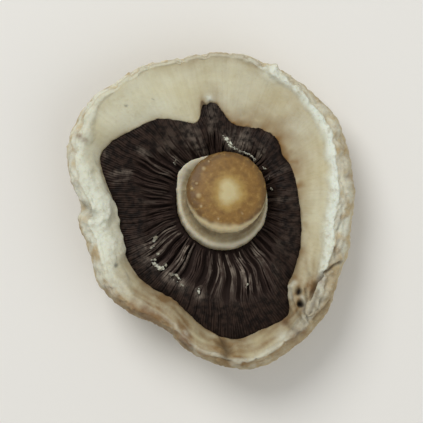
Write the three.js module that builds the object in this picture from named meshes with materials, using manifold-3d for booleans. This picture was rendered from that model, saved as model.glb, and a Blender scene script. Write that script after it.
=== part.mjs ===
// A dried slice of a button mushroom cap, cut crosswise and lying with its gills up.
// Three bodies of tissue: the pale cap with its skin, the ring of dark gills and the short stub of the stem.
// Millimetres, +Z up. The origin is under the middle of the slice, on the surface that it rests on.

import * as THREE from "three";
import { mergeVertices } from "three/addons/utils/BufferGeometryUtils.js";
import Module from "manifold-3d";

const wasm = await Module();
wasm.setup();

// ---- driving dimensions ----

const degrees = THREE.MathUtils.degToRad;
const clearance = 0.3; // between one body of tissue and the next
const directions = 96; // steps round the cap and the gills
const leanTowards = degrees(225); // the side on which the slice stands highest

// Where the stem meets the cap: the gills and every wrinkle run out from here.
const hub = new THREE.Vector2(1.2, 0.9);

// The widest line of the cap seen from above, anticlockwise from the top.
const girthPoints = [
  [0.3, 18.8], [-5.0, 17.9], [-9.9, 16.4], [-14.4, 13.1], [-17.1, 8.3], [-16.9, 4.2],
  [-15.5, 0.6], [-15.9, -1.7], [-14.3, -5.0], [-13.7, -8.4], [-10.8, -10.9], [-6.3, -13.4],
  [-1.3, -17.5], [2.2, -18.8], [6.6, -18.3], [11.1, -15.4], [14.1, -11.6], [15.9, -6.8],
  [17.1, -1.0], [17.1, 4.0], [15.9, 9.5], [13.0, 13.6], [9.3, 16.2], [5.2, 18.3],
];

// The edge of the gills, with the torn spike at the top and the corner at the lower right.
const gillPoints = [
  [0.1, 13.1], [-0.6, 12.6], [-1.7, 10.5], [-3.6, 10.8], [-6.6, 11.0], [-9.3, 9.7],
  [-12.5, 7.8], [-13.3, 6.2], [-12.2, 2.6], [-11.1, -0.5], [-10.7, -3.4], [-9.9, -6.0],
  [-7.8, -8.7], [-4.5, -10.6], [-2.3, -12.7], [0.2, -14.6], [3.0, -15.4], [6.0, -14.2],
  [9.2, -12.6], [9.5, -11.0], [9.1, -9.3], [10.0, -7.0], [10.8, -3.5], [10.4, 2.0],
  [9.6, 5.3], [8.5, 6.8], [7.9, 8.6], [6.4, 9.6], [2.6, 10.4], [1.7, 11.3], [0.8, 12.7],
];

const girthHeight = { mean: 4.9, lean: 0.7 };
const rimHeight = { mean: 8.4, lean: 1.1, wave: 0.2 };
const rimRound = 0.3;
const skinWidth = { mean: 1.3, lopsided: 0.62, towards: degrees(-48), twoSided: 0.6, least: 0.3 };
const crown = { roundness: 2.4, flat: 0.35 }; // flat: how much of its depth is worn to the resting spot
const fleshDrop = { mean: 1.8, lopsided: 0.9, leastTowards: degrees(60), dish: 0.65 }; // rim to gills
const skinFolds = { depth: 0.12, count: 13 };
const pucker = { depth: 0.45, towards: degrees(-44), width: degrees(20) };

const gill = {
  innerRadius: 6.1,
  innerEdge: 5.5, // height of the free edges beside the stem
  outerDrop: 0.25, // how far they end below the cut flesh
  bulge: 0.6,
  depth: 1.7,
  endDepth: 0.55, // share of the depth that is left at both ends
  floor: 0.8, // tissue that joins the roots
  thickness: 0.6,
  pairs: 36, // one long and one short gill each
  unevenness: 0.12, // of the pitch
  shortStart: 9.6,
  shortDrop: 0.45,
};

const stem = {
  directions: 48,
  lean: new THREE.Vector2(0.5, 1.8), // how far the cut end stands to the side of the foot
  leanStart: 5.0,
  tilt: degrees(13),
  // radius and height, from the foot up: collar, groove, neck, lip and domed end
  profile: [
    [0, 3.8], [5.2, 3.8], [5.6, 4.6], [5.65, 5.6], [5.5, 6.2], [5.15, 6.55], [4.6, 6.65],
    [4.4, 7.3], [4.55, 8.1], [4.75, 8.7], [4.55, 9.25], [4.1, 9.5], [2.4, 9.75], [0, 9.9],
  ],
};

// ---- the slice as functions of the direction from the hub ----

const mix = THREE.MathUtils.lerp;
const smooth = (t) => t * t * (3 - 2 * t);

// Distance from the hub to a closed smooth line through the points, for any direction.
function polarOutline(points) {
  const line = new THREE.CatmullRomCurve3(
    points.map(([x, y]) => new THREE.Vector3(x - hub.x, y - hub.y, 0)),
    true,
  );
  const steps = 720;
  const table = line
    .getPoints(steps)
    .slice(0, steps)
    .map((p) => ({ angle: wrap(Math.atan2(p.y, p.x)), radius: Math.hypot(p.x, p.y) }))
    .sort((a, b) => a.angle - b.angle);
  return (direction) => {
    const angle = wrap(direction);
    const next = Math.max(0, table.findIndex((entry) => entry.angle > angle));
    const after = table[next];
    const before = table.at(next - 1);
    const share = wrap(angle - before.angle) / wrap(after.angle - before.angle);
    return mix(before.radius, after.radius, share);
  };
}

function wrap(angle) {
  const turn = 2 * Math.PI;
  return ((angle % turn) + turn) % turn;
}

const girthRadius = polarOutline(girthPoints);
const gillRadius = polarOutline(gillPoints);

const girthZ = (a) => girthHeight.mean + girthHeight.lean * Math.cos(a - leanTowards);

// The skin turns in above the girth: hardly at the top of the outline, widely on the other sides.
const rimRadius = (a) => {
  const oneSide = skinWidth.lopsided * Math.cos(a - skinWidth.towards);
  const bothSides = skinWidth.twoSided * Math.cos(2 * a);
  return girthRadius(a) - Math.max(skinWidth.least, skinWidth.mean + oneSide + bothSides);
};

const rimZ = (a) =>
  rimHeight.mean +
  rimHeight.lean * Math.cos(a - leanTowards) +
  rimHeight.wave * (Math.sin(5 * a + 1) + 0.6 * Math.sin(9 * a));

// The cut flesh falls from the rim to the gills, least where the band of flesh is broad.
const gillRimZ = (a) =>
  rimZ(a) - fleshDrop.mean + fleshDrop.lopsided * Math.cos(a - fleshDrop.leastTowards);

// Low folds that run up the skin, and a crease and fold along the rim at one corner of the flesh.
const skinFold = (a) =>
  skinFolds.depth * (Math.sin(skinFolds.count * a) + 0.6 * Math.sin(1.5 * (skinFolds.count - 1) * a + 2));
const fleshFold = (s, a) => {
  const off = wrap(a - pucker.towards + Math.PI) - Math.PI;
  return -pucker.depth * Math.exp(-((off / pucker.width) ** 2)) * Math.sin(2 * Math.PI * s);
};

// Free edge and floor of the gills, t from 0 beside the stem to 1 at the flesh.
const gillEdgeZ = (t, a) =>
  mix(gill.innerEdge, gillRimZ(a) - gill.outerDrop, smooth(t)) + gill.bulge * Math.sin(Math.PI * t);
const gillFloorZ = (t, a) =>
  gillEdgeZ(t, a) - gill.depth * mix(gill.endDepth, 1, Math.sin(Math.PI * t));
const gillRootZ = (t, a) => gillFloorZ(t, a) - gill.floor;
const gillR = (t, a, inset) => mix(gill.innerRadius, gillRadius(a) - clearance / 2, t) + inset;

// ---- solids ----

// A lathed ring or disc whose every vertex is then set by place(station, direction).
function shapedLathe(stations, steps, place) {
  const geometry = new THREE.LatheGeometry(
    stations.map((_, i) => new THREE.Vector2(1, i)),
    steps,
  );
  const position = geometry.getAttribute("position");
  for (let k = 0; k < position.count; k++) {
    const station = stations[k % stations.length];
    const step = Math.floor(k / stations.length) % steps;
    const angle = (2 * Math.PI * step) / steps;
    const { radius, z } = place(station, angle);
    position.setXYZ(k, hub.x + radius * Math.cos(angle), hub.y + radius * Math.sin(angle), z);
  }
  return geometry;
}

function toSolid(geometry) {
  const bare = geometry.clone();
  bare.deleteAttribute("normal");
  bare.deleteAttribute("uv");
  const merged = mergeVertices(bare, 1e-4);
  return new wasm.Manifold(
    new wasm.Mesh({
      numProp: 3,
      vertProperties: merged.getAttribute("position").array,
      triVerts: new Uint32Array(merged.index.array),
    }),
  );
}

function toGeometry(solid) {
  const mesh = solid.getMesh();
  const geometry = new THREE.BufferGeometry();
  geometry.setAttribute("position", new THREE.BufferAttribute(mesh.vertProperties, 3));
  geometry.setIndex(new THREE.BufferAttribute(mesh.triVerts, 1));
  geometry.computeVertexNormals();
  return geometry;
}

// Crown, skin, rim, cut flesh and the hollow for the gills, from the resting spot to the hub.
function capGeometry() {
  const stations = [
    ...[0, 0.22, 0.42, 0.52, 0.62, 0.72, 0.81, 0.9, 0.96, 1].map((s) => ({ part: "crown", s })),
    ...[0.35, 0.7, 0.92].map((s) => ({ part: "skin", s })),
    ...[0, 0.5, 1].map((s) => ({ part: "rim", s })),
    ...[0.25, 0.5, 0.75, 0.9, 1].map((s) => ({ part: "flesh", s })),
    ...[1, 0.75, 0.5, 0.25, 0].map((s) => ({ part: "hollow", s })),
    { part: "hub", s: 0 },
  ];
  const place = {
    crown(s, a) {
      const depth = 1 - Math.sqrt(1 - s ** crown.roundness);
      const z = (girthZ(a) + crown.flat) * depth - crown.flat;
      return { radius: girthRadius(a) * s + skinFold(a) * s ** 3, z: Math.max(0, z) };
    },
    skin(s, a) {
      const turn = (s * Math.PI) / 2;
      const radius = mix(rimRadius(a) + rimRound, girthRadius(a), Math.cos(turn));
      return {
        radius: radius + skinFold(a) * (1 - s),
        z: mix(girthZ(a), rimZ(a) - rimRound, Math.sin(turn)),
      };
    },
    rim(s, a) {
      const turn = s * Math.PI;
      return {
        radius: rimRadius(a) + rimRound * Math.cos(turn),
        z: rimZ(a) - rimRound + rimRound * Math.sin(turn),
      };
    },
    flesh(s, a) {
      const fall = mix(s, s ** 2.2, fleshDrop.dish);
      return {
        radius: mix(rimRadius(a) - rimRound, gillRadius(a) + clearance / 2, s),
        z: mix(rimZ(a), gillRimZ(a), fall) - rimRound + fleshFold(s, a),
      };
    },
    hollow(s, a) {
      return { radius: gillR(s, a, clearance * s), z: gillRootZ(s, a) - clearance };
    },
    hub() {
      return { radius: 0, z: stem.profile[0][1] - clearance };
    },
  };
  return shapedLathe(stations, directions, ({ part, s }, a) => place[part](s, a));
}

// A ring between two heights over the gills' own outline, both given as functions of t and direction.
function gillRing(lowZ, highZ, inset) {
  const across = [0, 0.25, 0.5, 0.75, 1];
  const stations = [
    ...across.map((t) => ({ t, z: lowZ })),
    ...across.toReversed().map((t) => ({ t, z: highZ })),
    { t: 0, z: lowZ },
  ];
  return toSolid(
    shapedLathe(stations, directions, ({ t, z }, a) => ({
      radius: gillR(t, a, inset * (1 - 2 * t)),
      z: z(t, a),
    })),
  );
}

// Plates standing on edge round the hub, one for each direction.
function plateFan(angles, startRadius) {
  const length = 12;
  const low = 3;
  const high = 9;
  const plates = angles.map((angle) => {
    const plate = new THREE.BoxGeometry(length, gill.thickness, high - low);
    plate.translate(startRadius + length / 2, 0, (low + high) / 2);
    plate.rotateZ(angle);
    plate.translate(hub.x, hub.y, 0);
    return toSolid(plate);
  });
  return plates.reduce((fan, plate) => fan.add(plate));
}

// The gills: a floor that joins the roots, with long plates and shorter ones between them standing on it.
function gillGeometry() {
  const pitch = (2 * Math.PI) / gill.pairs;
  const uneven = (i) => i + gill.unevenness * Math.sin(7 * i);
  const longAngles = Array.from({ length: gill.pairs }, (_, i) => uneven(i) * pitch);
  const shortAngles = longAngles.map((angle) => angle + pitch / 2);
  const sunk = (t, a) => gillRootZ(t, a) + gill.floor / 2;
  const lower = (t, a) => gillEdgeZ(t, a) - gill.shortDrop;
  const floor = gillRing(gillRootZ, gillFloorZ, 0);
  const inset = 0.1;
  const long = gillRing(sunk, gillEdgeZ, inset).intersect(plateFan(longAngles, gill.innerRadius + 0.4));
  const short = gillRing(sunk, lower, inset).intersect(plateFan(shortAngles, gill.shortStart));
  return toGeometry(floor.add(long).add(short));
}

// The stub: a lathed profile whose upper rings shift and tilt, as the stem leans.
function stemGeometry() {
  const top = stem.profile.at(-1)[1];
  const towards = stem.lean.clone().normalize();
  const geometry = shapedLathe(stem.profile, stem.directions, ([radius, z]) => ({ radius, z }));
  const position = geometry.getAttribute("position");
  for (let k = 0; k < position.count; k++) {
    const z = position.getZ(k);
    const share = Math.max(0, (z - stem.leanStart) / (top - stem.leanStart));
    const along = new THREE.Vector2(position.getX(k), position.getY(k)).sub(hub).dot(towards);
    position.setXYZ(
      k,
      position.getX(k) + stem.lean.x * share,
      position.getY(k) + stem.lean.y * share,
      z - Math.sin(stem.tilt) * along * share,
    );
  }
  return geometry;
}

// ---- the mushroom ----

function tissue(name, geometry, colour, roughness) {
  const material = new THREE.MeshStandardMaterial({ color: colour, roughness, metalness: 0 });
  const mesh = new THREE.Mesh(geometry, material);
  mesh.name = name;
  return mesh;
}

const mushroom = new THREE.Group();
mushroom.add(
  tissue("cap", toGeometry(toSolid(capGeometry())), "#c9c4a6", 0.85),
  tissue("gills", gillGeometry(), "#2c2320", 0.7),
  tissue("stem", toGeometry(toSolid(stemGeometry())), "#8a6c41", 0.5),
);

// The outline's own middle goes over the origin.
const middle = new THREE.Box3().setFromObject(mushroom).getCenter(new THREE.Vector3());
mushroom.position.set(-middle.x, -middle.y, 0);

export default mushroom;
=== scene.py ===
import bpy
import math
import random
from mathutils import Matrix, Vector, noise


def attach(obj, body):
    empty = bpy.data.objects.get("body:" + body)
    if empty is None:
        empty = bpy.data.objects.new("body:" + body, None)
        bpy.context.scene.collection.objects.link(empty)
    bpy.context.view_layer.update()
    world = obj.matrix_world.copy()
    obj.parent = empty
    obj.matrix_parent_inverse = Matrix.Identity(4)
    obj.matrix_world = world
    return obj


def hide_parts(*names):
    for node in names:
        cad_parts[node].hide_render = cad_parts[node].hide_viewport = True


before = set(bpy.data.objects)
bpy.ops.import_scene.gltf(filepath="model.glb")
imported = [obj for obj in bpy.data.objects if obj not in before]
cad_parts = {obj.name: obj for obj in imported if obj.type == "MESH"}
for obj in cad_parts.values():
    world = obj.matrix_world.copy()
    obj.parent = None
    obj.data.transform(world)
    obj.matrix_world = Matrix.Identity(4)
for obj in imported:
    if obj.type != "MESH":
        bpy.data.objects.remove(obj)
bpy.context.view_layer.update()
mm = 0.001
turn = 2 * math.pi
print("frame loaded")


# The slice's form, by direction from the hub, in millimetres and degrees. Direction 0 is +X, 90 is +Y.
form = {
    "hub": (1.138, 0.931),  # where the stem meets the cap
    "clearance": 0.3,  # between cap, gills and stem
    "reach": 14,  # about how far the rim is from the hub: streaks have their true pitch there
    "leanTowards": 225,  # the side on which the slice stands highest
    "girthHeight": 4.9, "girthLean": 0.7,
    "rimHeight": 8.4, "rimLean": 1.1, "rimWave": 0.2, "rimRound": 0.3,
    "rimFill": (112, 50, 0.85),  # where the flesh runs up to the crest: direction, width and share
    "skinWidth": 1.3, "skinOneSide": 0.62, "skinTowards": -48, "skinTwoSides": 0.6, "skinLeast": 0.3,
    "crownRoundness": 2.4, "crownFlat": 0.35,
    "fleshDrop": 1.8, "fleshOneSide": 0.9, "fleshTowards": 60, "fleshDish": 0.65,
    "puckerDepth": 0.45, "puckerTowards": -44, "puckerWidth": 20,
    "gillInner": 6.1, "gillInnerEdge": 5.5, "gillOuterDrop": 0.25, "gillBulge": 0.6,
    "gillDepth": 1.7, "gillEndDepth": 0.55, "gillFloor": 0.8,
    "nose": (101, 2.2, 0.75),  # a tongue of gills with a steep side: direction, half width and length
    "hollowTop": 3.5,  # the cap's surface under the stem
}
hub = Vector((*form["hub"], 0))


def mix(low, high, share):
    return low + (high - low) * share


def smooth(share):
    share = min(1, max(0, share))
    return share * share * (3 - 2 * share)


def between(u, start, fadeIn, end, fadeOut):  # 1 from start to end, fading in and out
    return smooth((u - start) / fadeIn) * (1 - smooth((u - end) / fadeOut))


def towards(direction, degrees):  # 1 in that direction, -1 in the opposite one
    return math.cos(direction - math.radians(degrees))


def near(direction, degrees, width):  # 1 in that direction, fading out over width degrees
    away = (math.degrees(direction) - degrees + 180) % 360 - 180
    return math.exp(-((away / width) ** 2))


def reachOf(node, steps=96):
    # how far a CAD node reaches from the hub, as a smooth closed line through its own directions
    reach = [0.0] * steps
    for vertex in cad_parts[node].data.vertices:
        out = vertex.co / mm - hub
        place = math.atan2(out.y, out.x) / turn * steps
        if abs(place - round(place)) < 0.05:
            k = round(place) % steps
            reach[k] = max(reach[k], out.xy.length)

    def at(direction):
        place = direction / turn * steps
        k = math.floor(place)
        t = place - k
        a, b, c, d = (reach[(k + i) % steps] for i in (-1, 0, 1, 2))
        return b + t * (c - a + t * (2 * a - 5 * b + 4 * c - d + t * (3 * (b - c) + d - a))) / 2

    return at


girthAt = reachOf("cap")
gillReach = reachOf("gills")


def noseAt(a):
    direction, width, length = form["nose"]
    return length * near(a, direction, width)


def gillEnd(a):
    return gillReach(a) + noseAt(a)


def girthZ(a):
    return form["girthHeight"] + form["girthLean"] * towards(a, form["leanTowards"])


def rimAt(a):
    sides = form["skinOneSide"] * towards(a, form["skinTowards"]) + form["skinTwoSides"] * math.cos(2 * a)
    return girthAt(a) - max(form["skinLeast"], form["skinWidth"] + sides)


def rimZ(a):
    lean = form["rimLean"] * towards(a, form["leanTowards"])
    return form["rimHeight"] + lean + form["rimWave"] * (math.sin(5 * a + 1) + 0.6 * math.sin(9 * a))


def gillRimZ(a):
    return rimZ(a) - form["fleshDrop"] + form["fleshOneSide"] * towards(a, form["fleshTowards"])


def gillEdgeZ(t, a):  # t is 0 beside the stem and 1 at the flesh
    line = mix(form["gillInnerEdge"], gillRimZ(a) - form["gillOuterDrop"], smooth(t))
    return line + form["gillBulge"] * math.sin(math.pi * t)


def gillFloorZ(t, a):
    return gillEdgeZ(t, a) - form["gillDepth"] * mix(form["gillEndDepth"], 1, math.sin(math.pi * t))


def gillRadius(t, a):
    return mix(form["gillInner"], gillEnd(a), t)


def pullUp(steps, height):  # extrudes the active mesh upwards, step by step
    bpy.ops.object.mode_set(mode="EDIT")
    bpy.ops.mesh.select_all(action="SELECT")
    for _ in range(steps):
        bpy.ops.mesh.extrude_region_move(TRANSFORM_OT_translate={"value": (0, 0, height)})
    bpy.ops.object.mode_set(mode="OBJECT")


def tube(name, around, rings):
    # a circle pulled up ring by ring, one millimetre for each, which layOut then shapes
    bpy.ops.object.select_all(action="DESELECT")
    bpy.ops.mesh.primitive_circle_add(vertices=around, radius=mm, location=(0, 0, 0))
    piece = bpy.context.object
    piece.name = name
    pullUp(rings - 1, mm)
    return piece


def layOut(piece, stations, place):
    # each ring of a tube takes its station's radius and height; across keeps where a point is
    piece.data.attributes.new("across", "FLOAT", "POINT")
    across = piece.data.attributes["across"]
    for vertex in piece.data.vertices:
        station = stations[round(vertex.co.z / mm)]
        a = math.atan2(vertex.co.y, vertex.co.x)
        x, y, z = place(station, a)
        across.data[vertex.index].value = station
        vertex.co = Vector((x, y, z)) * mm


def polar(radius, a, z):
    return hub.x + radius * math.cos(a), hub.y + radius * math.sin(a), z


def close(piece):
    # merges what meets and turns the faces outwards
    bpy.context.view_layer.objects.active = piece
    bpy.ops.object.mode_set(mode="EDIT")
    bpy.ops.mesh.select_all(action="SELECT")
    bpy.ops.mesh.remove_doubles(threshold=0.002 * mm)
    bpy.ops.mesh.normals_make_consistent(inside=False)
    bpy.ops.object.mode_set(mode="OBJECT")


def subdivide(piece, levels):
    modifier = piece.modifiers.new("fine", "SUBSURF")
    modifier.levels = levels
    modifier.render_levels = levels
    bpy.context.view_layer.objects.active = piece
    bpy.ops.object.modifier_apply(modifier="fine")


def finishPiece(piece, material):
    bpy.ops.object.select_all(action="DESELECT")
    piece.select_set(True)
    bpy.context.view_layer.objects.active = piece
    bpy.ops.object.shade_smooth()
    piece.data.materials.append(material)
    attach(piece, "root")
    print(piece.name, len(piece.data.polygons), "faces")


def joinAll(name, parts):
    bpy.ops.object.select_all(action="DESELECT")
    for part in parts:
        part.select_set(True)
    bpy.context.view_layer.objects.active = parts[0]
    bpy.ops.object.join()
    parts[0].name = name
    return parts[0]


def masks(piece, names):
    # one number for each point, which the materials read by name
    for name in names:
        piece.data.attributes.new(name, "FLOAT", "POINT")
    return {name: piece.data.attributes[name].data for name in names}


def paint(mask, index, **values):
    for name, value in values.items():
        mask[name][index].value = value


def acrossOf(piece):
    return [value.value for value in piece.data.attributes["across"].data]


def copyOf(blank):
    copy = blank.copy()
    copy.data = blank.data.copy()
    bpy.context.collection.objects.link(copy)
    return copy


def fromHub(point):  # distance in plan, and direction
    out = point - hub
    return out.xy.length, math.atan2(out.y, out.x)


def strays(a, table):  # how far something strays from even, from directions, widths and strengths
    return sum(strength * near(a, direction, width) for direction, width, strength in table)


def ripple(a, across, pitch, radius=form["reach"]):
    # noise that runs in streaks away from the hub, pitch millimetres apart at the radius
    size = radius / pitch
    return noise.noise(Vector((size * math.cos(a), size * math.sin(a), across)))


def lump(point, size, seed=0):  # plain noise with lumps of a size in millimetres
    return noise.noise(point / size + Vector((seed, 3 * seed, 7 * seed)))


def crazing(point, size, seed=0):  # 1 along fine branching lines, 0 between them
    return max(0, 1 - 4 * abs(lump(point, size, seed)))


def toLine(point, line):
    # distance in plan from a point to a line through points, all in millimetres
    least = 1e9
    for start, end in zip(line, line[1:]):
        a = Vector(start)
        along = Vector(end) - a
        part = min(1, max(0, (point.xy - a).dot(along) / along.length_squared))
        least = min(least, (point.xy - a - along * part).length)
    return least


def onLine(point, line, breadth):  # 1 on a line in plan, fading out over a breadth in millimetres
    return math.exp(-((toLine(point, line) / breadth) ** 2))


def spot(point, centre, size):  # 1 at a place in plan, fading out over a size in millimetres
    return math.exp(-(((point.xy - Vector(centre)).length / size) ** 2))


def strongest(point, spots):  # the strongest of the spots there, each with its place, size and strength
    return max(strength * spot(point, place, size) for place, size, strength in spots)


def byDirection(a, table, width=14):
    # a value that changes smoothly round the slice, from a table of directions and values
    degrees = math.degrees(a)
    total = weight = 0
    for direction, value in table:
        away = (degrees - direction + 180) % 360 - 180
        pull = math.exp(-((away / width) ** 2))
        total += value * pull
        weight += pull
    return total / weight


def linear(colour):
    # a hex sRGB colour as linear red, green, blue and alpha
    parts = [int(colour[i:i + 2], 16) / 255 for i in (1, 3, 5)]
    return [p / 12.92 if p <= 0.04045 else ((p + 0.055) / 1.055) ** 2.4 for p in parts] + [1]


# a colour Mix node's sockets, by place, because their names repeat
mixShare, mixUnder, mixOver, mixResult = 0, 6, 7, 2


def addNode(tree, kind, settings=None, inputs=None, output=0):
    # one shader node: properties set, inputs linked or given a value (a hex string is a colour)
    node = tree.nodes.new(kind)
    for name, value in (settings or {}).items():
        setattr(node, name, value)
    for name, value in (inputs or {}).items():
        if isinstance(value, bpy.types.NodeSocket):
            tree.links.new(value, node.inputs[name])
        else:
            node.inputs[name].default_value = linear(value) if isinstance(value, str) else value
    return node.outputs[output] if node.outputs else None


def newMaterial(name):
    material = bpy.data.materials.new(name)
    material.use_nodes = True
    tree = material.node_tree
    tree.nodes.clear()
    return material, tree


def addPatterns(tree, look, value):
    # adds to value what the colours are mixed by: the piece's own masks, its grains and their shares
    place = addNode(tree, "ShaderNodeTexCoord", output="Object")
    for name in look["masks"]:
        value[name] = addNode(tree, "ShaderNodeAttribute", {"attribute_name": name}, output="Fac")
    for name, (size, detail, roughness) in look["grains"].items():
        grain = {"Vector": place, "Scale": 1 / (size * mm), "Detail": detail, "Roughness": roughness}
        value[name] = addNode(tree, "ShaderNodeTexNoise", inputs=grain)
    for name, (source, start, end, least, most) in look["shares"].items():
        limits = {"From Min": start, "From Max": end, "To Min": least, "To Max": most}
        value[name] = addNode(tree, "ShaderNodeMapRange", inputs={"Value": value[source], **limits})
    for name, (first, second) in look["products"].items():
        factors = {0: value[first], 1: value[second]}
        value[name] = addNode(tree, "ShaderNodeMath", {"operation": "MULTIPLY"}, factors)


def finishTissue(tree, look, value, colours, height):
    # lays each colour over the one named first in its line, in turn, then adds the relief and the shader
    for under, share, over in look["layers"]:
        sockets = {mixShare: value[share], mixUnder: colours[under], mixOver: colours[over]}
        colours[under] = addNode(tree, "ShaderNodeMix", {"data_type": "RGBA"}, sockets, mixResult)
    relief = {"Strength": look["bump"], "Distance": look["relief"] * mm, "Height": height}
    links = {"Base Color": colours[under], "Normal": addNode(tree, "ShaderNodeBump", inputs=relief)}
    if "roughness" in value:
        links["Roughness"] = value["roughness"]
    surface = addNode(tree, "ShaderNodeBsdfPrincipled", inputs={**look["shader"], **links})
    addNode(tree, "ShaderNodeOutputMaterial", inputs={"Surface": surface})


# Dried mushroom flesh, cut with a knife and air-dried: dull, chalky and a little see-through, cream with
# a white crumbly margin and a papery skin. It gives the eye soft edges, faint fibres and no shine.
fleshLook = {
    "colours": {
        "flesh": "#cbc4a1", "fleshPale": "#d5d1b4", "fleshDull": "#b0a37e", "brown": "#84602f",
        # rust is the colour of red-brown stains, and of painted shadow on the south-west rim
        "tan": "#856c48", "rust": "#6b3f1f", "skin": "#c6b793", "skinPatch": "#957c58",
        # crack is darker tissue and painted shade in cracks, hollows and along the flesh's edge by the gills
        "white": "#dfe4d6", "whiteDull": "#c9c8b3", "crack": "#4b3b28", "pit": "#120d09",
    },
    "masks": ("skin", "white", "brown", "tan", "rust", "crack", "pit"),  # numbers painted on the mesh
    "grains": {  # size in millimetres, detail and roughness
        "blotch": (3.0, 3, 0.55), "patch": (1.6, 5, 0.65), "speck": (0.5, 3, 0.6), "fine": (0.4, 4, 0.55),
    },
    "fibres": (0.35, 3, 0.4),  # pitch in millimetres, detail and distortion
    "shares": {  # from which pattern, where in it the share starts and ends, and the share there
        "paleBlotches": ("blotch", 0.35, 0.65, 0, 1), "dullFibres": ("fibres", 0.45, 0.75, 0, 0.22),
        "dullGrain": ("fine", 0.55, 0.8, 0, 0.3), "skinPatches": ("patch", 0.52, 0.68, 0, 0.55),
        "skinBlotches": ("blotch", 0.45, 0.65, 0, 0.35), "skinFibres": ("fibres", 0.5, 0.75, 0, 0.35),
        "whiteSpecks": ("speck", 0.5, 0.66, 0, 0.3), "dullSpecks": ("speck", 0.5, 0.68, 0, 0.8),
        "bareSkin": ("patch", 0.58, 0.72, 0, 0.45), "tanPatches": ("patch", 0.35, 0.6, 0.75, 1.1),
        "rustSpecks": ("speck", 0.3, 0.65, 0.7, 1.15),
    },
    "products": {"tanShare": ("tan", "tanPatches"), "rustShare": ("rust", "rustSpecks")},
    "layers": (  # the colour below, the share and the colour above
        ("flesh", "paleBlotches", "fleshPale"), ("flesh", "dullFibres", "fleshDull"),
        ("flesh", "dullGrain", "fleshDull"), ("flesh", "brown", "brown"),
        ("skin", "skinPatches", "skinPatch"), ("skin", "skinBlotches", "skinPatch"),
        ("skin", "skinFibres", "skinPatch"), ("skin", "whiteSpecks", "white"),
        ("white", "dullSpecks", "whiteDull"), ("white", "bareSkin", "skinPatch"),
        ("flesh", "skin", "skin"), ("flesh", "tanShare", "tan"), ("flesh", "white", "white"),
        ("flesh", "rustShare", "rust"), ("flesh", "crack", "crack"), ("flesh", "pit", "pit"),
    ),
    "shader": {
        "Roughness": 0.85, "Specular IOR Level": 0.25, "Subsurface Weight": 0.12,
        "Subsurface Radius": (1.2, 0.8, 0.4), "Subsurface Scale": 1 * mm,
    },
    "bump": 0.9, "relief": 0.1,  # strength, and height in millimetres
    "fibreRelief": 0.7, "patchRelief": 1.5,  # beside the fine grain's and the specks'
    "cutRelief": 0.35, "skinRelief": 0.2,  # how much of the fine relief shows on cut flesh and on skin
}


def driedFlesh():
    look = fleshLook
    material, tree = newMaterial("driedMushroomFlesh")
    pitch, detail, distortion = look["fibres"]
    way = addNode(tree, "ShaderNodeAttribute", {"attribute_name": "fibre"}, output="Vector")
    fibres = {"Vector": way, "Scale": 1 / pitch, "Detail": detail, "Distortion": distortion}
    value = {"fibres": addNode(tree, "ShaderNodeTexNoise", inputs=fibres)}
    addPatterns(tree, look, value)
    either = {0: value["skin"], 1: value["white"]}
    rough = addNode(tree, "ShaderNodeMath", {"operation": "MAXIMUM"}, either)
    limits = {"To Min": look["cutRelief"], "To Max": look["skinRelief"]}
    fineShare = addNode(tree, "ShaderNodeMapRange", inputs={"Value": rough, **limits})
    addScaled = {"operation": "MULTIPLY_ADD"}
    smoothRelief = addNode(
        tree, "ShaderNodeMath", addScaled, {0: value["fibres"], 1: look["fibreRelief"], 2: value["fine"]}
    )
    roughRelief = addNode(
        tree, "ShaderNodeMath", addScaled, {0: value["patch"], 1: look["patchRelief"], 2: value["speck"]}
    )
    height = addNode(tree, "ShaderNodeMath", {"operation": "MULTIPLY"}, {0: smoothRelief, 1: fineShare})
    height = addNode(tree, "ShaderNodeMath", addScaled, {0: roughRelief, 1: rough, 2: height})
    finishTissue(tree, look, value, dict(look["colours"]), height)
    return material


# Dried gill tissue, grown and not cut: thin leathery plates full of ripe dark spores. It gives the eye
# a brown so deep that only the paler free edges and a waxy glint tell one plate from the next.
gillLook = {
    "colours": {
        # deep is painted shade, laid low on the plates and on the floor between them
        "deep": "#17100d", "plate": "#2a1e19", "cut": "#33261f", "cutDark": "#160f0b", "edge": "#3a2d27",
        # pale is the colour of dried edges and of painted highlights on the pleats
        "pale": "#978b7d",
    },
    "masks": ("height", "loose", "pale"),  # numbers painted on the mesh
    "grains": {  # size in millimetres, detail and roughness
        "mottle": (0.7, 4, 0.55), "fine": (0.333, 3, 0.55),
    },
    "shares": {  # from which pattern, where in it the share starts and ends, and the share there
        "raised": ("height", 0.15, 0.85, 0, 1), "crest": ("height", 0.7, 1, 0, 1),
        "edgeMottle": ("mottle", 0.62, 0.42, 0, 1), "cutMottle": ("mottle", 0.4, 0.62, 0, 1),
        "paleMottle": ("mottle", 0.36, 0.6, 0.1, 1.1), "roughness": ("height", 0.3, 1, 0.9, 0.55),
    },
    "products": {"bleached": ("pale", "paleMottle")},
    "layers": (  # the colour below, the share and the colour above
        ("deep", "raised", "plate"), ("plate", "edgeMottle", "edge"), ("cutDark", "cutMottle", "cut"),
        ("cutDark", "loose", "plate"), ("cutDark", "bleached", "pale"), ("deep", "crest", "cutDark"),
    ),
    "shader": {"Specular IOR Level": 0.12},
    "bump": 0.5, "relief": 0.05,  # strength, and height in millimetres
}


def driedGill():
    look = gillLook
    material, tree = newMaterial("driedMushroomGill")
    value = {}
    addPatterns(tree, look, value)
    finishTissue(tree, look, value, dict(look["colours"]), value["fine"])
    return material


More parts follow.
